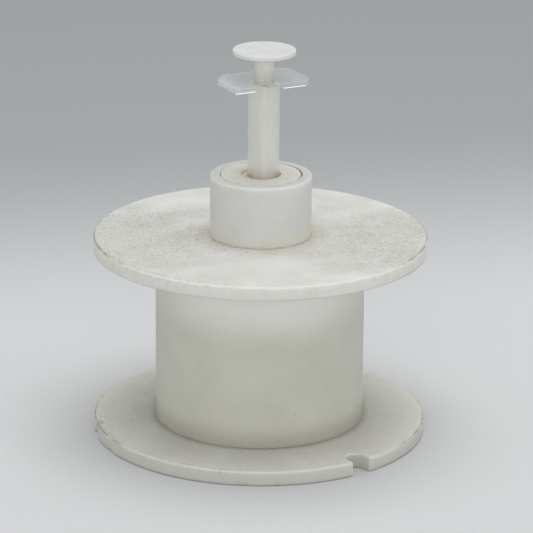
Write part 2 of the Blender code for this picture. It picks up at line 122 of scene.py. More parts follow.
# Camera and stage
CAMERA_AIM = Vector((1.28, 0.0, 34.45)) * MM
CAMERA_DISTANCE = 0.6925
CAMERA_ELEVATION = math.radians(18.35)
CAMERA_ROLL = math.radians(0.55)
CAMERA_VIEW_ANGLE = math.radians(8.96)
FLOOR_RADIUS = 4.0
FLOOR_HEIGHT = -0.02 * MM
# The floor's painted shade, by height in the picture and across it.
FLOOR_FADE = (0.37, 0.74)           # height in the picture where the floor starts and ends darkening
FLOOR_FADE_TILT = 0.05              # how much that height rises across the picture
WORLD_COLOUR = (0.95, 0.97, 1.0, 1.0)
WORLD_STRENGTH = 0.66
LIGHTS = (                          # name, place, aim, size and power
    ("overhead", (0.05, 0.02, 0.75), (0.0, 0.0, 0.0), (0.7, 0.6), 4.4),
    ("front_fill", (-0.10, -0.9, 0.40), (0.0, 0.0, 0.03), (0.5, 0.5), 1.7),
    ("right_fill", (0.8, -0.5, 0.30), (0.0, 0.0, 0.03), (0.5, 0.5), 0.4),
)


# ---------------------------------------------------------------- outlines and meshes

def unit(across, up):
    length = math.hypot(across, up)
    return across / length, up / length


def rounded(corners):
    """Points of a closed outline whose (across, up, round) corners are replaced by arcs."""
    points = []
    for index, (across, up, corner_round) in enumerate(corners):
        if corner_round == 0.0:
            points.append((across, up))
            continue
        before = corners[index - 1]
        after = corners[(index + 1) % len(corners)]
        back = unit(before[0] - across, before[1] - up)
        on = unit(after[0] - across, after[1] - up)
        for step in range(ROUND_STEPS + 1):
            angle = 0.5 * math.pi * step / ROUND_STEPS
            reach_back = corner_round * (1.0 - math.sin(angle))
            reach_on = corner_round * (1.0 - math.cos(angle))
            points.append((
                across + reach_back * back[0] + reach_on * on[0],
                up + reach_back * back[1] + reach_on * on[1],
            ))
    return points


def divided(points, closed):
    """The same outline with its long stretches cut into steps of at most LONGEST_STEP."""
    result = []
    count = len(points) if closed else len(points) - 1
    for index in range(count):
        start = points[index]
        end = points[(index + 1) % len(points)]
        pieces = max(1, math.ceil(math.dist(start, end) / LONGEST_STEP))
        for piece in range(pieces):
            share = piece / pieces
            result.append((
                start[0] + share * (end[0] - start[0]),
                start[1] + share * (end[1] - start[1]),
            ))
    if not closed:
        result.append(points[-1])
    return result


def plain_rim(radius, angle):
    """The same reach at every angle."""
    return radius


def turned_mesh(name, corners, segments, rim=plain_rim, angles=None):
    """Turn an outline about Z. An outline that starts on the axis also ends there.

    rim gives the reach of an outline point at an angle, where the piece isn't round."""
    on_axis = corners[0][0] == 0.0
    outline = divided(rounded(corners), closed=not on_axis)
    if angles is None:
        angles = [2.0 * math.pi * step / segments for step in range(segments)]
    shape = bmesh.new()
    columns = []
    for angle in angles:
        column = []
        for index, (radius, height) in enumerate(outline):
            on_pole = on_axis and index in (0, len(outline) - 1)
            if on_pole and columns:
                column.append(columns[0][index])
                continue
            reach = rim(radius, angle)
            column.append(shape.verts.new((reach * math.cos(angle), reach * math.sin(angle), height)))
        columns.append(column)
    rows = len(outline) - 1 if on_axis else len(outline)
    for index, column in enumerate(columns):
        following = columns[(index + 1) % len(columns)]
        for row in range(rows):
            below = (row + 1) % len(outline)
            around = [column[row], column[below], following[below], following[row]]
            shape.faces.new(list(dict.fromkeys(around)))
    bmesh.ops.remove_doubles(shape, verts=shape.verts, dist=WELD)
    bmesh.ops.recalc_face_normals(shape, faces=shape.faces)
    mesh = bpy.data.meshes.new(name)
    shape.to_mesh(mesh)
    shape.free()
    return mesh


def finish_piece(name, mesh, body, material, nodes, location=(0.0, 0.0, 0.0), turn=0.0):
    """Make the object, give it its material and let it ride in place of its CAD nodes."""
    mesh.materials.append(material)
    mesh.shade_smooth()
    mesh.set_sharp_from_angle(angle=SHARP_ANGLE)
    piece = bpy.data.objects.new(name, mesh)
    piece.location = location
    piece.rotation_euler = (0.0, 0.0, turn)
    bpy.context.scene.collection.objects.link(piece)
    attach(piece, body)
    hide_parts(*nodes)
    return piece


def wander(mesh, seed):
    """Sink each point by smooth noise, so that no surface is perfectly true. None grows past the CAD."""
    offset = Vector((seed, 2.0 * seed, 3.0 * seed))
    foot = min(vertex.co.z for vertex in mesh.vertices)
    sinks = []
    for vertex in mesh.vertices:
        share = 0.5 + 0.5 * noise.noise(vertex.co / WANDER_GRAIN + offset)
        sinks.append(vertex.normal * (share * WANDER))
    for vertex, sink in zip(mesh.vertices, sinks):
        vertex.co -= sink
        vertex.co.z = max(vertex.co.z, foot)


def rim_point(radius, angle, height):
    return Vector((radius * math.cos(angle), radius * math.sin(angle), height))


def nick_rim(mesh, radius, heights, count, seed):
    """Press small dents into a rim, at random angles, each centred at one of the given heights."""
    chance = random.Random(seed)
    rim = [vertex for vertex in mesh.vertices if vertex.co.xy.length > radius - NICK_REACH[1]]
    for _ in range(count):
        angle = chance.uniform(-math.pi, math.pi)
        centre = rim_point(radius, angle, chance.choice(heights))
        reach = chance.uniform(*NICK_REACH)
        depth = chance.uniform(*NICK_DEPTH)
        inward = -rim_point(1.0, angle, 0.0)
        for vertex in rim:
            near = (vertex.co - centre).length / reach
            if near < 1.0:
                vertex.co += inward * (depth * (1.0 - near * near) ** 2)


# ---------------------------------------------------------------- materials

class Shader:
    """A material and short ways to add its nodes. Texture sizes are in 1/mm of the piece at rest."""

    def __init__(self, name):
        self.material = bpy.data.materials.new(name)
        self.material.use_nodes = True
        self.tree = self.material.node_tree
        self.surface = self.tree.nodes["Principled BSDF"]
        place = self.add("ShaderNodeTexCoord")
        scale = self.add("ShaderNodeVectorMath", operation="SCALE")
        scale.inputs["Scale"].default_value = 1.0 / MM
        self.join(place.outputs["Object"], scale.inputs[0])
        self.place = scale.outputs[0]
        parts = self.add("ShaderNodeSeparateXYZ")
        self.join(self.place, parts.inputs[0])
        self.x, self.y, self.z = parts.outputs

    def add(self, kind, **settings):
        node = self.tree.nodes.new(kind)
        for key, value in settings.items():
            setattr(node, key, value)
        return node

    def join(self, source, target):
        self.tree.links.new(source, target)

    def feed(self, target, value):
        if isinstance(value, bpy.types.NodeSocket):
            self.join(value, target)
        else:
            target.default_value = value

    def set(self, name, value):
        self.feed(self.surface.inputs[name], value)

    def math(self, operation, first, second=0.0, third=0.0):
        node = self.add("ShaderNodeMath", operation=operation)
        for target, value in zip(node.inputs, (first, second, third)):
            self.feed(target, value)
        return node.outputs[0]

    def product(self, first, *others):
        for value in others:
            first = self.math("MULTIPLY", first, value)
        return first

    def magnitude(self, value):
        return self.math("ABSOLUTE", value)

    def radius(self):
        squares = self.math("ADD", self.math("POWER", self.x, 2.0), self.math("POWER", self.y, 2.0))
        return self.math("SQRT", squares)

    def angle(self):
        """Angle about Z in degrees, from -180 to 180."""
        return self.product(self.math("ARCTAN2", self.y, self.x), 180.0 / math.pi)

    def ramp(self, value, low, high, at_low=0.0, at_high=1.0):
        """A smooth step: at_low where value is at most low, and at_high where it is at least high."""
        node = self.add("ShaderNodeMapRange", interpolation_type="SMOOTHSTEP")
        for target, amount in zip(node.inputs, (value, low, high, at_low, at_high)):
            self.feed(target, amount)
        return node.outputs[0]

    def band(self, value, start, full, end, gone):
        """1 between full and end, and 0 outside start and gone."""
        return self.product(self.ramp(value, start, full), self.ramp(value, end, gone, 1.0, 0.0))

    def stretch(self, across, along, up):
        node = self.add("ShaderNodeVectorMath", operation="MULTIPLY")
        self.join(self.place, node.inputs[0])
        node.inputs[1].default_value = (across, along, up)
        return node.outputs[0]

    def noise(self, scale, detail=4.0, roughness=0.5, place=None):
        node = self.add("ShaderNodeTexNoise")
        self.join(place or self.place, node.inputs["Vector"])
        node.inputs["Scale"].default_value = scale
        node.inputs["Detail"].default_value = detail
        node.inputs["Roughness"].default_value = roughness
        return node.outputs["Fac"]

    def specks(self, scale, size, share):
        """Small round dots: one in each texture cell, of which only a share is kept."""
        node = self.add("ShaderNodeTexVoronoi")
        self.join(self.place, node.inputs["Vector"])
        node.inputs["Scale"].default_value = scale
        dot = self.ramp(node.outputs["Distance"], 0.6 * size, size, 1.0, 0.0)
        parts = self.add("ShaderNodeSeparateColor")
        self.join(node.outputs["Color"], parts.inputs[0])
        kept = self.math("LESS_THAN", parts.outputs[0], share)
        return self.product(dot, kept)

    def mix(self, share, first, second):
        node = self.add("ShaderNodeMix", data_type="RGBA")
        self.feed(node.inputs["Factor"], share)
        self.feed(colour_socket(node.inputs, "A"), first)
        self.feed(colour_socket(node.inputs, "B"), second)
        return colour_socket(node.outputs, "Result")

    def bump(self, height, distance):
        node = self.add("ShaderNodeBump")
        node.inputs["Distance"].default_value = distance
        self.join(height, node.inputs["Height"])
        return node.outputs["Normal"]

    def up_share(self):
        """How much the surface faces up or down: 1 up, 0 sideways, -1 down."""
        geometry = self.add("ShaderNodeNewGeometry")
        parts = self.add("ShaderNodeSeparateXYZ")
        self.join(geometry.outputs["True Normal"], parts.inputs[0])
        return parts.outputs[2]

    def let_light_through(self, share, colour):
        """Mix in a thin-sheet scatter, so that light from the far side brightens the near one."""
        scatter = self.add("ShaderNodeBsdfTranslucent")
        self.feed(scatter.inputs["Color"], colour)
        mixed = self.add("ShaderNodeMixShader")
        mixed.inputs["Fac"].default_value = share
        clear = self.add("ShaderNodeBsdfTransparent")
        veil = self.add("ShaderNodeMixShader")
        alpha = self.surface.inputs["Alpha"]
        self.feed(veil.inputs["Fac"], alpha.links[0].from_socket)
        self.join(clear.outputs[0], veil.inputs[1])
        self.join(scatter.outputs[0], veil.inputs[2])
        self.join(self.surface.outputs[0], mixed.inputs[1])
        self.join(veil.outputs[0], mixed.inputs[2])
        self.join(mixed.outputs[0], self.tree.nodes["Material Output"].inputs["Surface"])


def colour_socket(sockets, name):
    """A Mix node has a socket of each type under every name. This is the one for colours."""
    return next(socket for socket in sockets if socket.name == name and socket.type == "RGBA")


def grey(red, green=None, blue=None):
    """A colour from display values of 0 to 255."""
    def linear(value):
        share = value / 255.0
        return share / 12.92 if share <= 0.04045 else ((share + 0.055) / 1.055) ** 2.4
    green = red if green is None else green
    blue = red if blue is None else blue
    return (linear(red), linear(green), linear(blue), 1.0)


# Colour of dirt, also used for painted shade in the lower flange's corner at the drum's foot.
DIRT_AND_SHADE = grey(122, 116, 98)
# Colour of dark crumbs, also used for painted shadow in the gap at the collar's joint.
CRUMB_AND_SHADOW = grey(74, 68, 54)


def milky_plastic(shader, pale, dull, scuffs):
    """Light-scattering plastic: pale, but dull and peppered with dirty pits where it is scuffed."""
    cloud = shader.noise(0.12, detail=3.0)
    pepper = shader.noise(1.5, detail=7.0, roughness=0.85)
    grain = shader.ramp(pepper, 0.42, 0.60, 0.2, 1.0)
    patches = shader.noise(0.32, roughness=0.6)
    colour = shader.mix(shader.ramp(cloud, 0.35, 0.65, 0.0, 0.30), pale, dull)
    rough = shader.product(scuffs, shader.ramp(patches, 0.30, 0.70, 0.6, 1.0))
    colour = shader.mix(shader.product(rough, grain), colour, dull)
    pits = shader.product(shader.ramp(pepper, 0.55, 0.68), shader.ramp(rough, 0.0, 0.9, 0.06, 0.42))
    colour = shader.mix(pits, colour, DIRT_AND_SHADE)
    shader.set("Subsurface Weight", 0.5)
    shader.set("Subsurface Radius", (1.0, 0.95, 0.8))
    shader.set("Subsurface Scale", 2.0 * MM)
    shader.set("IOR", 1.50)
    shader.set("Roughness", shader.ramp(pepper, 0.3, 0.7, 0.45, 0.68))
    return colour


def tool_marks(shader, across, distance):
    """Fine lathe lines across a value in mm, made uneven by a slow wobble, with pits between them."""
    wobble = shader.noise(0.6, detail=2.0)
    line = shader.math("ADD", shader.product(across, 14.0), shader.product(wobble, 3.0))
    ripple = shader.product(shader.math("SINE", line), 0.2)
    pits = shader.noise(4.0, detail=5.0, roughness=0.75)
    return shader.bump(shader.math("ADD", ripple, pits), distance)


def crumbs(shader, colour, where, share):
    """Dark crumbs of dirt in three sizes. A mask says where, and share how many of them are kept."""
    for scale, size in ((0.75, 0.16), (1.5, 0.20), (2.9, 0.28)):
        dots = shader.product(shader.specks(scale, size, share), where)
        colour = shader.mix(dots, colour, CRUMB_AND_SHADOW)
    return colour


def jitter(shader, value, scale, reach):
    """A value in mm whose contour lines are pushed about by noise."""
    drift = shader.noise(scale, detail=5.0, roughness=0.6)
    push = shader.product(shader.math("SUBTRACT", drift, 0.5), reach)
    return shader.math("ADD", value, push)


def upper_flange_material():
    """Wiped clean in front and behind, scuffed to the left and right, stained round the collar."""
    shader = Shader("upper_flange_plastic")
    radius = shader.radius()
    low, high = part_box("top_flange")
    off_centre = shader.magnitude(shader.x)
    sideways = shader.ramp(jitter(shader, off_centre, 0.10, 26.0), 4.0, 20.0)
    depthwise = shader.band(jitter(shader, shader.y, 0.14, 26.0), -30.0, -14.0, 8.0, 24.0)
    scuffs = shader.product(sideways, depthwise)
    colour = milky_plastic(shader, grey(192, 191, 186), grey(155, 153, 146), scuffs)
    clusters = shader.ramp(shader.noise(0.4, detail=3.0), 0.4, 0.6)
    grit = shader.product(shader.ramp(scuffs, 0.1, 0.8), clusters)
    colour = crumbs(shader, colour, shader.math("MULTIPLY_ADD", grit, 0.75, 0.15), share=0.36)
    streaks = shader.noise(1.3, detail=6.0, roughness=0.8, place=shader.stretch(0.2, 1.8, 1.0))
    colour = shader.mix(shader.ramp(streaks, 0.50, 0.70, 0.0, 0.30), colour, grey(160, 160, 154))
    stain_edge = jitter(shader, radius, 0.30, 9.0)
    sides = shader.ramp(off_centre, 5.0, 11.0, 0.30, 0.36)
    stain = shader.product(shader.ramp(stain_edge, 10.5, 15.0, 1.0, 0.0), sides)
    colour = shader.mix(stain, colour, grey(172, 163, 140))
    front = shader.ramp(shader.y, 0.0, 8.0, 1.0, 0.4)
    where = shader.product(shader.band(stain_edge, 9.5, 11.0, 13.0, 15.5), front)
    colour = crumbs(shader, colour, where, share=0.50)
    # The upper rim's side is painted paler than its top, as painted light.
    colour = rim_wear_and_light(shader, colour, radius, low.z / MM, high.z / MM, grey(220, 219, 213))
    shader.set("Base Color", colour)
    shader.set("Normal", tool_marks(shader, radius, 0.03 * MM))
    return shader.material


def rim_wear_and_light(shader, colour, radius, low, high, painted_side_colour):
    """A flange's rim: its side painted paler than the top, unevenly, as painted light, and darkened
    towards its foot, most at the right front. Broken marks of dirt at the left front. A darker outline of
    the top at the left and right."""
    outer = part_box("top_flange")[1].x / MM
    angle = shader.angle()
    left_front = shader.band(angle, *LEFT_FRONT)
    dashes = shader.ramp(shader.noise(2.4, detail=6.0, roughness=0.75), 0.52, 0.60)
    top_face = shader.ramp(shader.z, high - 0.5, high - 0.1)

    side = shader.ramp(shader.magnitude(shader.up_share()), 0.35, 0.85, 1.0, 0.0)
    side = shader.product(side, shader.ramp(radius, outer - 0.5, outer - 0.3))
    # Painted light: the side is painted paler than the top, unevenly.
    uneven_side_light = shader.ramp(shader.noise(0.7), 0.40, 0.62, 0.85, 1.0)
    colour = shader.mix(shader.product(side, uneven_side_light), colour, painted_side_colour)

    # The side is darker towards its foot, most at the right front.
    foot = shader.product(side, shader.ramp(shader.z, low, low + 0.6, 1.0, 0.0))
    strength = shader.math("MULTIPLY_ADD", shader.band(angle, *RIGHT_FRONT), 0.40, 0.25)
    colour = shader.mix(shader.product(foot, strength), colour, DIRT_AND_SHADE)

    line = jitter(shader, radius, 0.25, 1.0)
    line = shader.band(line, outer - 1.1, outer - 0.9, outer - 0.6, outer - 0.3)
    grime = shader.product(line, top_face, dashes, left_front, 0.7)
    colour = shader.mix(grime, colour, CRUMB_AND_SHADOW)

    bite = shader.band(shader.z, high - 1.1, high - 0.7, high - 0.3, high + 0.5)
    bite = shader.product(bite, side, dashes, left_front, 0.40)
    colour = shader.mix(bite, colour, DIRT_AND_SHADE)

    # A darker outline along the top's edge at the left and right.
    ends = shader.ramp(shader.magnitude(shader.x), outer - 9.0, outer - 3.0)
    edge = shader.ramp(jitter(shader, radius, 0.5, 0.3), outer - 0.55, outer - 0.25)
    broken = shader.ramp(shader.noise(0.5), 0.40, 0.60, 0.3, 0.8)
    return shader.mix(shader.product(edge, top_face, ends, broken), colour, DIRT_AND_SHADE)


def lower_flange_material():
    """Evenly dusty, with dirt and painted shade in the corner at the drum's foot."""
    shader = Shader("lower_flange_plastic")
    radius = shader.radius()
    low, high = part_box("bottom_flange")
    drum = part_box("drum")[1].x / MM
    scuffs = shader.ramp(shader.noise(0.15), 0.36, 0.64, 0.2, 0.8)
    colour = milky_plastic(shader, grey(199, 198, 191), grey(181, 180, 170), scuffs)
    colour = crumbs(shader, colour, 0.45, share=0.06)
    # Dirt and painted shade in the corner at the drum's foot, on faces that look up.
    corner = shader.ramp(jitter(shader, radius, 0.5, 1.2), drum, drum + 1.8, 0.30, 0.0)
    corner = shader.product(corner, shader.ramp(shader.up_share(), 0.0, 0.5))
    colour = shader.mix(corner, colour, DIRT_AND_SHADE)
    colour = rim_wear_and_light(shader, colour, radius, low.z / MM, high.z / MM, grey(199, 198, 190))
    shader.set("Base Color", colour)
    shader.set("Normal", tool_marks(shader, radius, 0.03 * MM))
    return shader.material


def drum_material():
    """Painted glow: palest at the top, most of all in front, standing in for light that comes down
    through it. Darker at the foot, with dirt and painted shade in the corner.
    """
    shader = Shader("drum_plastic")
    low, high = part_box("drum")
    blotch = shader.noise(0.085, detail=5.0, roughness=0.6, place=shader.stretch(1.0, 1.0, 1.7))
    scuffs = shader.ramp(blotch, 0.42, 0.68, 0.05, 0.5)
    colour = milky_plastic(shader, grey(206, 205, 194), grey(194, 193, 175), scuffs)
    # Painted glow: the top is painted almost white, most of all in front.
    rise = shader.ramp(shader.z, high.z / MM - 15.0, high.z / MM - 1.0)
    middle = shader.ramp(shader.y, -0.9 * high.x / MM, -0.4 * high.x / MM, 1.0, 0.6)
    colour = shader.mix(shader.product(rise, middle), colour, grey(253, 253, 248))
    # Darker towards the foot: dirt and painted shade in the corner with the bottom flange.
    foot = shader.ramp(jitter(shader, shader.z, 0.5, 1.0), low.z / MM, low.z / MM + 5.0, 0.36, 0.0)
    colour = shader.mix(foot, colour, grey(132, 129, 108))
    colour = crumbs(shader, colour, 0.75, share=0.015)
    shader.set("Base Color", colour)
    shader.set("Normal", tool_marks(shader, shader.z, 0.04 * MM))
    return shader.material


def joint_dirt_and_shadow(shader, colour, radius):
    """Dirt in the joint line between collar and core, broken all round, heavy at the right back, where it
    is also painted shadow of the gap.
    """
    joint = COLLAR_BORE_RADIUS / MM
    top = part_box("core_tube")[1].z / MM
    near_top = shader.ramp(shader.z, top - 1.0, top - 0.5)
    line = jitter(shader, radius, 0.5, 0.5)
    line = shader.band(line, joint - 0.40, joint - 0.20, joint + 0.02, joint + 0.22)
    # Painted shadow of the gap, added to the dirt at the right back.
    heavy = shader.product(shader.band(shader.angle(), *RIGHT_BACK), 0.7)
    broken = shader.ramp(shader.noise(0.5), 0.50, 0.62, 0.0, 0.35)
    share = shader.math("MAXIMUM", heavy, broken)
    return shader.mix(shader.product(line, share, near_top), colour, CRUMB_AND_SHADOW)


def collar_material():
    """Pale, with painted shade that darkens its top face, and dried stain and a few crumbs at its foot.
    """
    shader = Shader("collar_plastic")
    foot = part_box("top_flange")[1].z / MM
    scuffs = shader.ramp(shader.noise(0.3), 0.45, 0.65, 0.0, 0.35)
    colour = milky_plastic(shader, grey(212, 212, 208), grey(202, 201, 195), scuffs)
    # Painted shade: faces that look up are painted darker than the sides.
    painted_top_shade = shader.ramp(shader.up_share(), 0.3, 0.9, 0.0, 0.85)
    colour = shader.mix(painted_top_shade, colour, grey(168, 168, 164))
    colour = joint_dirt_and_shadow(shader, colour, shader.radius())
    rise = jitter(shader, shader.z, 0.4, 2.0)
    stain = shader.ramp(rise, foot, foot + 3.5, 0.50, 0.0)
    colour = shader.mix(stain, colour, grey(218, 210, 190))
    colour = crumbs(shader, colour, shader.ramp(rise, foot, foot + 0.5, 0.5, 0.04), share=0.2)
    shader.set("Base Color", colour)
    shader.set("Normal", tool_marks(shader, shader.z, 0.04 * MM))
    return shader.material


def core_material():
    """Tan stain where liquid dried round the stem's hole."""
    shader = Shader("core_plastic")
    radius = shader.radius()
    scuffs = shader.ramp(shader.noise(0.4), 0.45, 0.65, 0.0, 0.5)
    colour = milky_plastic(shader, grey(188, 187, 177), grey(172, 170, 157), scuffs)
    stain = shader.ramp(jitter(shader, radius, 0.7, 2.4), 3.2, 5.6, 0.45, 0.0)
    colour = shader.mix(stain, colour, grey(186, 172, 142))
    colour = crumbs(shader, colour, shader.band(radius, 3.4, 3.9, 4.4, 4.9), share=0.22)
    colour = crumbs(shader, colour, 0.4, share=0.04)
    colour = joint_dirt_and_shadow(shader, colour, radius)
    shader.set("Base Color", colour)
    shader.set("Normal", tool_marks(shader, radius, 0.04 * MM))
    return shader.material


def stem_material():
    """A milky tube that lets its plunger show through, stained where it enters the core."""
    shader = Shader("stem_plastic")
    cloud = shader.noise(0.5, place=shader.stretch(1.0, 1.0, 0.3))
    colour = shader.mix(shader.ramp(cloud, 0.35, 0.7), grey(250, 250, 247), grey(242, 241, 235))
    core_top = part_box("core_tube")[1].z / MM
    stain = shader.ramp(jitter(shader, shader.z, 0.5, 3.0), core_top - 1.0, core_top + 3.0, 0.35, 0.0)
    colour = shader.mix(stain, colour, grey(226, 210, 180))
    colour = crumbs(shader, colour, 0.35, share=0.05)
    scratch = shader.noise(1.6, detail=5.0, roughness=0.75, place=shader.stretch(1.0, 1.0, 0.15))
    shader.set("Base Color", colour)
    shader.set("Roughness", shader.ramp(scratch, 0.4, 0.7, 0.25, 0.45))
    shader.set("Alpha", shader.ramp(cloud, 0.3, 0.7, 0.46, 0.56))
    shader.set("IOR", 1.50)
    shader.set("Normal", shader.bump(scratch, 0.02 * MM))
    shader.let_light_through(0.45, colour)
    return shader.material


def plate_material():
    """Clear sheet plastic, hazy with scratches and chipped white at its left end.

    Its cut edges show as a pale line of painted highlight. Along the front edge their lower corner glows
    with painted light (emission), standing in for light that runs inside the sheet and leaves it there."""
    shader = Shader("clear_plastic")
    scratch = shader.noise(1.0, detail=6.0, roughness=0.8, place=shader.stretch(1.0, 0.5, 1.0))
    left = -PLATE_LEFT_REACH / MM
    worn_end = shader.ramp(jitter(shader, shader.x, 0.5, 3.0), left + 1.0, left + 4.5, 1.0, 0.0)
    chips = shader.ramp(shader.noise(1.5, detail=5.0, roughness=0.7), 0.47, 0.56)
    chips = shader.product(chips, worn_end)
    haze = shader.ramp(scratch, 0.46, 0.74, 0.12, 0.32)
    haze = shader.math("MULTIPLY_ADD", chips, 0.15, haze)
    wall = shader.ramp(shader.magnitude(shader.up_share()), 0.2, 0.7, 1.0, 0.0)
    low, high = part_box("finger_plate")
    half_thickness = 0.5 * (high.z - low.z) / MM
    corner = shader.ramp(shader.magnitude(shader.z), half_thickness - 0.22, half_thickness - 0.12)
    corner = shader.product(corner, shader.ramp(wall, 0.0, 0.3))
    # Painted glow: the lower corner along the front edge is made opaque and given emission.
    lower_half = shader.ramp(shader.z, -0.1, 0.0, 1.0, 0.0)
    front_edge = -PLATE_FRONT_REACH / MM
    front = shader.ramp(shader.y, front_edge + 0.3, front_edge + 0.6, 1.0, 0.1)
    painted_glow = shader.product(corner, lower_half, front)
    colour = shader.mix(chips, grey(222, 224, 222), grey(246, 246, 245))
    # Painted highlight: the corners of the cut edges are painted almost white.
    shader.set("Base Color", shader.mix(corner, colour, grey(250, 250, 249)))
    outline = shader.product(corner, shader.ramp(shader.z, -0.1, 0.1, 0.15, 0.50))
    cover = shader.math("MAXIMUM", haze, outline)
    shader.set("Alpha", shader.math("MAXIMUM", cover, painted_glow))
    shader.set("Roughness", shader.ramp(scratch, 0.4, 0.7, 0.10, 0.30))
    shader.set("IOR", 1.49)
    shader.set("Normal", shader.bump(scratch, 0.02 * MM))
    shader.set("Emission Color", grey(255))
    shader.set("Emission Strength", shader.product(painted_glow, 1.3))
    shader.let_light_through(0.35, grey(244, 245, 244))
    return shader.material


def knob_material():
    """Opaque white plastic with painted light: its top painted grey and its side paler, and painted shade
    that turns its neck darker and warmer towards the foot.
    """
    shader = Shader("knob_plastic")
    cloud = shader.noise(0.35, detail=5.0, roughness=0.6)
    colour = shader.mix(shader.ramp(cloud, 0.35, 0.7), grey(187, 188, 187), grey(178, 178, 175))
    colour = crumbs(shader, colour, 0.30, share=0.05)
    # Painted light: the side is painted paler than the top.
    side = shader.ramp(shader.magnitude(shader.up_share()), 0.3, 0.8, 1.0, 0.0)
    colour = shader.mix(side, colour, grey(214, 214, 210))
    # Painted shade: the neck is painted darker and warmer towards its foot.
    neck = shader.ramp(shader.z, -1.2, -0.9, 1.0, 0.0)
    shade = shader.ramp(shader.z, -6.2, -2.0)
    colour = shader.mix(neck, colour, shader.mix(shade, grey(204, 202, 192), grey(232, 231, 226)))
    shader.set("Base Color", colour)
    shader.set("Subsurface Weight", 0.35)
    shader.set("Subsurface Radius", (1.0, 0.95, 0.85))
    shader.set("Subsurface Scale", 1.0 * MM)
    scuff = shader.noise(3.0, detail=5.0, roughness=0.75)
    shader.set("Roughness", shader.ramp(scuff, 0.35, 0.7, 0.35, 0.6))
    shader.set("Normal", shader.bump(scuff, 0.03 * MM))
    return shader.material


def rod_material():
    """Plain off-white plastic, for parts that are mostly hidden."""
    shader = Shader("rod_plastic")
    cloud = shader.noise(0.4, place=shader.stretch(1.0, 1.0, 0.3))
    colour = shader.mix(cloud, grey(236, 236, 231), grey(220, 219, 211))
    shader.set("Base Color", crumbs(shader, colour, 0.3, share=0.04))
    shader.set("Roughness", shader.ramp(cloud, 0.3, 0.7, 0.35, 0.5))
    shader.set("Normal", shader.bump(shader.noise(2.5), 0.02 * MM))
    return shader.material


def rubber_material():
    """Dark rubber with pale dust on it."""
    shader = Shader("dark_rubber")
    grain = shader.noise(6.0, roughness=0.7)
    colour = shader.mix(grain, grey(44, 44, 43), grey(66, 65, 62))
    dust = shader.ramp(shader.noise(1.4, detail=5.0, roughness=0.75), 0.55, 0.70, 0.0, 0.5)
    shader.set("Base Color", shader.mix(dust, colour, grey(128, 126, 118)))
    shader.set("Roughness", shader.ramp(grain, 0.3, 0.7, 0.6, 0.8))
    shader.set("Normal", shader.bump(grain, 0.02 * MM))
    return shader.material


def steel_material():
    """Brushed steel, tarnished in patches."""
    shader = Shader("stainless_steel")
    brushed = shader.noise(4.0, roughness=0.7, place=shader.stretch(1.0, 6.0, 1.0))
    colour = shader.mix(brushed, grey(188, 187, 183), grey(158, 157, 152))
    tarnish = shader.ramp(shader.noise(0.9), 0.50, 0.66, 0.0, 0.5)
    shader.set("Base Color", shader.mix(tarnish, colour, grey(132, 124, 108)))
    shader.set("Metallic", 1.0)
    shader.set("Roughness", shader.ramp(brushed, 0.3, 0.7, 0.25, 0.45))
    shader.set("Normal", shader.bump(brushed, 0.01 * MM))
    return shader.material


# ---------------------------------------------------------------- pieces

def notches(flange_radius):
    """The angle of each notch, and how far out the centre of its round end lies."""
    return [
        (angle, flange_radius - depth + NOTCH_RADIUS)
        for angle, depth in zip(NOTCH_ANGLES, NOTCH_DEPTHS)
    ]


def notched_rim(flange_radius):
    """The reach of each row of the flange at an angle: rows that meet a notch stop at its wall."""
    round_ends = notches(flange_radius)

    def reach(radius, angle):
        for notch, inner_end in round_ends:
            off = turn_between(angle, notch)
            aside = inner_end * math.sin(off)
            if math.cos(off) > 0.0 and abs(aside) < NOTCH_RADIUS:
                wall = inner_end * math.cos(off) - math.sqrt(NOTCH_RADIUS ** 2 - aside ** 2)
                inset = min(FLANGE_ROUND, flange_radius - radius)
                return min(radius, wall - inset)
        return radius

    return reach


def turn_between(angle, other):
    """The smaller angle from other to angle, from -pi to pi."""
    return (angle - other + math.pi) % (2.0 * math.pi) - math.pi


def flange_angles():
    """Even steps round the flange, and finer ones through each notch and its two walls."""
    flange_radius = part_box("bottom_flange")[1].x
    angles = [2.0 * math.pi * step / LARGE_SEGMENTS for step in range(LARGE_SEGMENTS)]
    for notch, inner_end in notches(flange_radius):
        half = math.asin(NOTCH_RADIUS / inner_end)
        angles = [angle for angle in angles if abs(turn_between(angle, notch)) > NOTCH_CLEARED * half]
        for step in range(NOTCH_STEPS + 1):
            share = math.sin(math.pi * (step / NOTCH_STEPS - 0.5))
            angles.append(notch + NOTCH_INSIDE * half * share)
        angles.append(notch - NOTCH_OUTSIDE * half)
        angles.append(notch + NOTCH_OUTSIDE * half)
    return sorted(angle % (2.0 * math.pi) for angle in angles)


def hole_cutter(name, outline, centre):
    cutter = bpy.data.objects.new(name, turned_mesh(name, outline, SMALL_SEGMENTS))
    cutter.location = centre
    bpy.context.scene.collection.objects.link(cutter)
    return cutter


def cut_holes(piece, cutters):
    """Cut once and keep the result in the mesh, so that no cutter stays in the scene."""
    for cutter in cutters:
        boolean = piece.modifiers.new(cutter.name, "BOOLEAN")
        boolean.operation = "DIFFERENCE"
        boolean.solver = "MANIFOLD"
        boolean.object = cutter
    bpy.context.view_layer.update()
    seen = piece.evaluated_get(bpy.context.evaluated_depsgraph_get())
    cut_mesh = bpy.data.meshes.new_from_object(seen)
    piece.modifiers.clear()
    piece.data = cut_mesh
    for cutter in cutters:
        bpy.data.objects.remove(cutter)


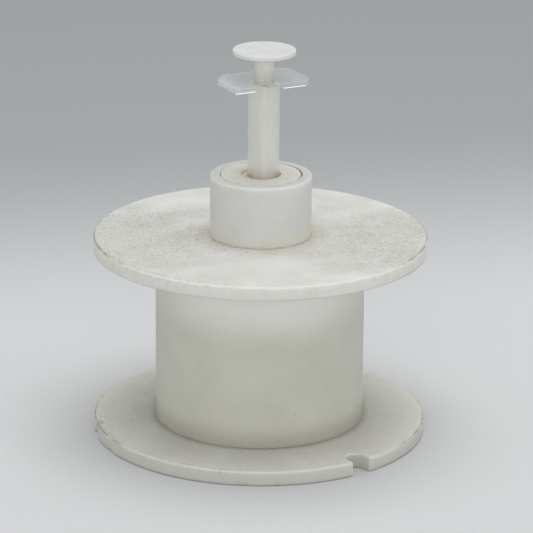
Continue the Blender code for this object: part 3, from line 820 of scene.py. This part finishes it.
def screw_hole(index):
    """A countersunk hole from beneath, right through the bottom flange."""
    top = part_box("bottom_flange")[1].z + PAST_FACE
    angle = FIRST_SCREW_ANGLE + index * 2.0 * math.pi / SCREW_COUNT
    return hole_cutter("screw_hole", [
        (0.0, top, 0.0),
        (SCREW_HOLE_RADIUS, top, 0.0),
        (SCREW_HOLE_RADIUS, SCREW_HEAD_HEIGHT, 0.0),
        (SCREW_HEAD_HOLE_RADIUS, 0.0, 0.0),
        (SCREW_HEAD_HOLE_RADIUS, -PAST_FACE, 0.0),
        (0.0, -PAST_FACE, 0.0),
    ], rim_point(FASTENER_CIRCLE, angle, 0.0))


def pin_hole(name):
    """A blind hole in the upper flange's underside, for one locating pin."""
    low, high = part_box(name)
    radius = 0.5 * (high.x - low.x) + PIN_CLEARANCE
    top = high.z + PIN_CLEARANCE
    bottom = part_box("top_flange")[0].z - PAST_FACE
    return hole_cutter("pin_hole", [
        (0.0, top, 0.0),
        (radius, top, 0.0),
        (radius, bottom, 0.0),
        (0.0, bottom, 0.0),
    ], (0.5 * (low.x + high.x), 0.5 * (low.y + high.y), 0.0))


def make_bottom_flange(material):
    low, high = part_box("bottom_flange")
    mesh = turned_mesh("bottom_flange_fine", [
        (high.x, high.z, FLANGE_ROUND),
        (high.x, low.z, EDGE_ROUND),
        (RECESS_RADIUS, low.z, FINE_ROUND),
        (RECESS_RADIUS, RECESS_HEIGHT, 0.0),
        (CORE_BORE_RADIUS, RECESS_HEIGHT, 0.0),
        (CORE_BORE_RADIUS, high.z, 0.0),
    ], LARGE_SEGMENTS, rim=notched_rim(high.x), angles=flange_angles())
    nick_rim(mesh, high.x, (low.z, high.z), RIM_NICKS, seed=3)
    wander(mesh, seed=3)
    piece = finish_piece(
        "bottom_flange_fine", mesh, "reel", material, ["bottom_flange"])
    cut_holes(piece, [screw_hole(index) for index in range(SCREW_COUNT)])


def make_drum(material):
    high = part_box("drum")[1]
    flange_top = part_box("bottom_flange")[1].z
    upper_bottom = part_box("top_flange")[0].z
    mesh = turned_mesh("drum_fine", [
        (high.x, upper_bottom - TOUCH, EDGE_ROUND),
        (high.x, flange_top, 0.0),
        (DRUM_BORE_RADIUS, flange_top, 0.0),
        (DRUM_BORE_RADIUS, upper_bottom - TOUCH, FINE_ROUND),
    ], LARGE_SEGMENTS)
    wander(mesh, seed=5)
    finish_piece("drum_fine", mesh, "reel", material, ["drum"])


def stem_hole_rim(offset):
    """Rows of the stem's hole lie on a circle about the stem's own axis."""
    def reach(radius, angle):
        if radius > STEM_HOLE_RADIUS:
            return radius
        aside = offset * math.sin(angle)
        return offset * math.cos(angle) + math.sqrt(radius ** 2 - aside ** 2)

    return reach


def make_core_tube(material):
    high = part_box("core_tube")[1]
    flange_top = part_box("bottom_flange")[1].z
    hole_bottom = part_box("core_bolt")[1].z
    ring_low, ring_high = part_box("friction_ring")
    ring_height = 0.5 * (ring_low.z + ring_high.z)
    mesh = turned_mesh("core_tube_fine", [
        (high.x, high.z, FINE_ROUND),
        (high.x, ring_height + GROOVE_HALF_HEIGHT, 0.0),
        (GROOVE_RADIUS, ring_height + GROOVE_HALF_HEIGHT, 0.0),
        (GROOVE_RADIUS, ring_height - GROOVE_HALF_HEIGHT, 0.0),
        (high.x, ring_height - GROOVE_HALF_HEIGHT, 0.0),
        (high.x, flange_top, 0.0),
        (CORE_BORE_RADIUS, flange_top, 0.0),
        (CORE_BORE_RADIUS, hole_bottom, 0.0),
        (STEM_HOLE_RADIUS, hole_bottom, 0.0),
        (STEM_HOLE_RADIUS, high.z - CORE_RECESS_DEPTH, 0.0),
        (CORE_BORE_RADIUS, high.z - CORE_RECESS_DEPTH, 0.0),
        (CORE_BORE_RADIUS, high.z, EDGE_ROUND),
    ], MEDIUM_SEGMENTS, rim=stem_hole_rim(stem_centre()[0]))
    finish_piece("core_tube_fine", mesh, "reel", material, ["core_tube"])


def make_top_flange(material):
    low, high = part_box("top_flange")
    mesh = turned_mesh("top_flange_fine", [
        (high.x, high.z, FLANGE_ROUND),
        (high.x, low.z, EDGE_ROUND),
        (COLLAR_SPIGOT_RADIUS, low.z, 0.0),
        (COLLAR_SPIGOT_RADIUS, high.z, 0.0),
    ], LARGE_SEGMENTS)
    nick_rim(mesh, high.x, (low.z, high.z), RIM_NICKS, seed=8)
    wander(mesh, seed=8)
    piece = finish_piece(
        "top_flange_fine", mesh, "upper_flange", material, ["top_flange"])
    cut_holes(piece, [pin_hole(name) for name in PINS])


def make_collar(material):
    low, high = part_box("collar")
    flange_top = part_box("top_flange")[1].z
    mesh = turned_mesh("collar_fine", [
        (high.x, high.z, FLANGE_ROUND),
        (high.x, flange_top, 0.0),
        (COLLAR_SPIGOT_RADIUS, flange_top, 0.0),
        (COLLAR_SPIGOT_RADIUS, low.z, 0.0),
        (COLLAR_BORE_RADIUS, low.z, 0.0),
        (COLLAR_BORE_RADIUS, high.z, FINE_ROUND),
    ], MEDIUM_SEGMENTS)
    nick_rim(mesh, high.x, (high.z,), RIM_NICKS // 3, seed=12)
    finish_piece("collar_fine", mesh, "upper_flange", material, ["collar"])


def stem_centre():
    low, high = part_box("stem_tube")
    return 0.5 * (low.x + high.x), 0.5 * (low.y + high.y)


def make_stem_tube(material):
    low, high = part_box("stem_tube")
    across, along = stem_centre()
    radius = 0.5 * (high.x - low.x)
    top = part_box("finger_plate")[0].z
    mesh = turned_mesh("stem_tube_fine", [
        (radius, top, 0.0),
        (radius, low.z, FINE_ROUND),
        (STEM_BORE_RADIUS, low.z, 0.0),
        (STEM_BORE_RADIUS, top, 0.0),
    ], MEDIUM_SEGMENTS)
    finish_piece(
        "stem_tube_fine", mesh, "stem", material, ["stem_tube"],
        (across, along, 0.0))


def make_thumb_knob(material):
    low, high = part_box("thumb_knob")
    across, along = stem_centre()
    radius = 0.5 * (high.x - low.x)
    underside = -KNOB_THICKNESS
    foot = low.z - high.z
    mesh = turned_mesh("thumb_knob_fine", [
        (0.0, -KNOB_DISH, 0.0),
        (KNOB_DISH_SHARE * radius, -KNOB_DISH, 0.0),
        (KNOB_LIP_SHARE * radius, 0.0, 0.0),
        (radius, 0.0, FINE_ROUND),
        (radius, underside, FINE_ROUND),
        (NECK_BOSS_RADIUS, underside, 0.0),
        (NECK_BOSS_RADIUS, underside - NECK_BOSS_LENGTH, FINE_ROUND),
        (NECK_RADIUS, underside - NECK_BOSS_LENGTH, 0.0),
        (NECK_RADIUS, foot, 0.0),
        (SOCKET_RADIUS, foot, 0.0),
        (SOCKET_RADIUS, foot + SOCKET_DEPTH, 0.0),
        (0.0, foot + SOCKET_DEPTH, 0.0),
    ], MEDIUM_SEGMENTS)
    finish_piece(
        "thumb_knob_fine", mesh, "plunger", material, ["thumb_knob"],
        (across, along, high.z))


def plate_outline():
    """A rectangle with three cut corners, one square corner and a shallow recess in its front edge."""
    left = -PLATE_LEFT_REACH
    right = PLATE_RIGHT_REACH
    back = PLATE_BACK_REACH
    front = -PLATE_FRONT_REACH
    recess = front + FRONT_RECESS_DEPTH
    return [
        (left, front),
        (FRONT_RECESS_LEFT, front),
        (FRONT_RECESS_LEFT + EDGE_ROUND, recess),
        (FRONT_RECESS_RIGHT - EDGE_ROUND, recess),
        (FRONT_RECESS_RIGHT, front),
        (right - FRONT_RIGHT_CUT, front),
        (right, front + FRONT_RIGHT_CUT),
        (right, back - BACK_RIGHT_CUT),
        (right - BACK_RIGHT_CUT, back),
        (left + BACK_LEFT_CUT, back),
        (left, back - BACK_LEFT_CUT),
    ]


def chipped(outline):
    """The plate's outline in short steps, with its left end chipped inwards here and there."""
    chance = random.Random(CHIP_SEED)
    points = []
    for across, along in divided(outline, closed=True):
        share = min(1.0, max(0.0, (CHIPPED_FROM - across) / (CHIPPED_FROM + PLATE_LEFT_REACH)))
        points.append((across + share * chance.uniform(0.0, CHIP_DEPTH), along))
    return points


def add_closed_line(curve, points):
    line = curve.splines.new("POLY")
    line.points.add(len(points) - 1)
    for point, (across, along) in zip(line.points, points):
        point.co = (across, along, 0.0, 1.0)
    line.use_cyclic_u = True


def sheet_mesh(name, outlines, thickness):
    """A flat sheet with bevelled edges, half above z = 0 and half below. Inner outlines are holes."""
    curve = bpy.data.curves.new(name, "CURVE")
    curve.dimensions = "2D"
    curve.fill_mode = "BOTH"
    curve.extrude = 0.5 * thickness - PLATE_EDGE
    curve.bevel_depth = PLATE_EDGE
    curve.bevel_resolution = 2
    curve.offset = -PLATE_EDGE
    for points in outlines:
        add_closed_line(curve, points)
    guide = bpy.data.objects.new(name, curve)
    bpy.context.scene.collection.objects.link(guide)
    bpy.context.view_layer.update()
    mesh = bpy.data.meshes.new_from_object(guide.evaluated_get(bpy.context.evaluated_depsgraph_get()))
    bpy.data.objects.remove(guide)
    shape = bmesh.new()
    shape.from_mesh(mesh)
    bmesh.ops.remove_doubles(shape, verts=shape.verts, dist=PLATE_WELD)
    bmesh.ops.recalc_face_normals(shape, faces=shape.faces)
    shape.to_mesh(mesh)
    shape.free()
    return mesh


def make_finger_plate(material):
    low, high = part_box("finger_plate")
    across, along = stem_centre()
    turn = 2.0 * math.pi / SMALL_SEGMENTS
    hole = [
        (PLATE_HOLE_RADIUS * math.cos(turn * step), PLATE_HOLE_RADIUS * math.sin(turn * step))
        for step in range(SMALL_SEGMENTS)
    ]
    mesh = sheet_mesh("finger_plate_line", [chipped(plate_outline()), hole], high.z - low.z)
    finish_piece(
        "finger_plate_fine", mesh, "stem", material, ["finger_plate"],
        (across, along, 0.5 * (low.z + high.z)), PLATE_TURN)


def give_material(frame, names, material):
    """For nodes that are shown as the CAD made them."""
    for name in names:
        node = frame["nodes"][name]
        node.data.materials.clear()
        node.data.materials.append(material)


# ---------------------------------------------------------------- stage

# The floor's colours: pale near, and darker far, as painted shade.
FLOOR_NEAR = grey(187, 188, 188)
FLOOR_FAR_SHADE = grey(144, 147, 147)


def make_floor():
    """A pale floor with painted shade: it darkens towards the top of the picture, like a studio sweep,
    and more to the left.
    """
    shape = bmesh.new()
    bmesh.ops.create_circle(shape, cap_ends=True, segments=96, radius=FLOOR_RADIUS)
    mesh = bpy.data.meshes.new("floor")
    shape.to_mesh(mesh)
    shape.free()
    floor = bpy.data.objects.new("floor", mesh)
    floor.location.z = FLOOR_HEIGHT
    bpy.context.scene.collection.objects.link(floor)
    shader = Shader("floor_paper")
    window = shader.add("ShaderNodeTexCoord")
    parts = shader.add("ShaderNodeSeparateXYZ")
    shader.join(window.outputs["Window"], parts.inputs[0])
    across, height, _ = parts.outputs
    # Painted shade: darker towards the top of the picture and to the left.
    height = shader.math("SUBTRACT", height, shader.product(across, FLOOR_FADE_TILT))
    colour = shader.mix(shader.ramp(height, *FLOOR_FADE), FLOOR_NEAR, FLOOR_FAR_SHADE)
    grain = shader.ramp(shader.noise(1.2, roughness=0.7), 0.35, 0.65, 0.0, 0.06)
    shader.set("Base Color", shader.mix(grain, colour, grey(120)))
    shader.set("Roughness", 0.9)
    mesh.materials.append(shader.material)


def area_light(name, location, aim, size, power):
    light = bpy.data.lights.new(name, "AREA")
    light.shape = "RECTANGLE"
    light.size = size[0]
    light.size_y = size[1]
    light.energy = power
    lamp = bpy.data.objects.new(name, light)
    lamp.location = location
    lamp.rotation_euler = (Vector(aim) - Vector(location)).to_track_quat("-Z", "Y").to_euler()
    bpy.context.scene.collection.objects.link(lamp)


def make_lights():
    for name, place, aim, size, power in LIGHTS:
        area_light(name, place, aim, size, power)
    world = bpy.data.worlds.new("studio")
    world.use_nodes = True
    background = world.node_tree.nodes["Background"]
    background.inputs["Color"].default_value = WORLD_COLOUR
    background.inputs["Strength"].default_value = WORLD_STRENGTH
    bpy.context.scene.world = world
    bpy.context.scene.view_settings.view_transform = "Standard"


def make_camera():
    camera = bpy.data.cameras.new("camera")
    camera.angle = CAMERA_VIEW_ANGLE
    camera.clip_start = 0.01
    camera.clip_end = 20.0
    view = bpy.data.objects.new("camera", camera)
    back = Vector((0.0, -math.cos(CAMERA_ELEVATION), math.sin(CAMERA_ELEVATION)))
    view.location = CAMERA_AIM + back * CAMERA_DISTANCE
    view.rotation_euler = (-back).to_track_quat("-Z", "Y").to_euler()
    view.rotation_euler.rotate_axis("Z", CAMERA_ROLL)
    bpy.context.scene.collection.objects.link(view)
    bpy.context.scene.camera = view


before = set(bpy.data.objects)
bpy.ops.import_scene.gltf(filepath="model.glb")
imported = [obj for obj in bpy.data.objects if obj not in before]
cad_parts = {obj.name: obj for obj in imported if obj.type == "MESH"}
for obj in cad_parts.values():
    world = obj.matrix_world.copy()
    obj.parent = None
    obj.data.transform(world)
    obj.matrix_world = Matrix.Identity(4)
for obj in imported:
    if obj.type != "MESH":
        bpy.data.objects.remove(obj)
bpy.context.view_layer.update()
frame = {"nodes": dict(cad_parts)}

make_bottom_flange(lower_flange_material())
make_drum(drum_material())
make_core_tube(core_material())
make_top_flange(upper_flange_material())
make_collar(collar_material())
make_stem_tube(stem_material())
make_finger_plate(plate_material())
make_thumb_knob(knob_material())

give_material(frame, ["plunger_rod", "stem_foot"], rod_material())
give_material(frame, ["core_bolt"], core_material())
give_material(frame, ["friction_ring", "piston_seal"], rubber_material())
give_material(frame, ["flange_screw_1", "flange_screw_2", "flange_screw_3", *PINS], steel_material())

make_floor()
make_lights()
make_camera()
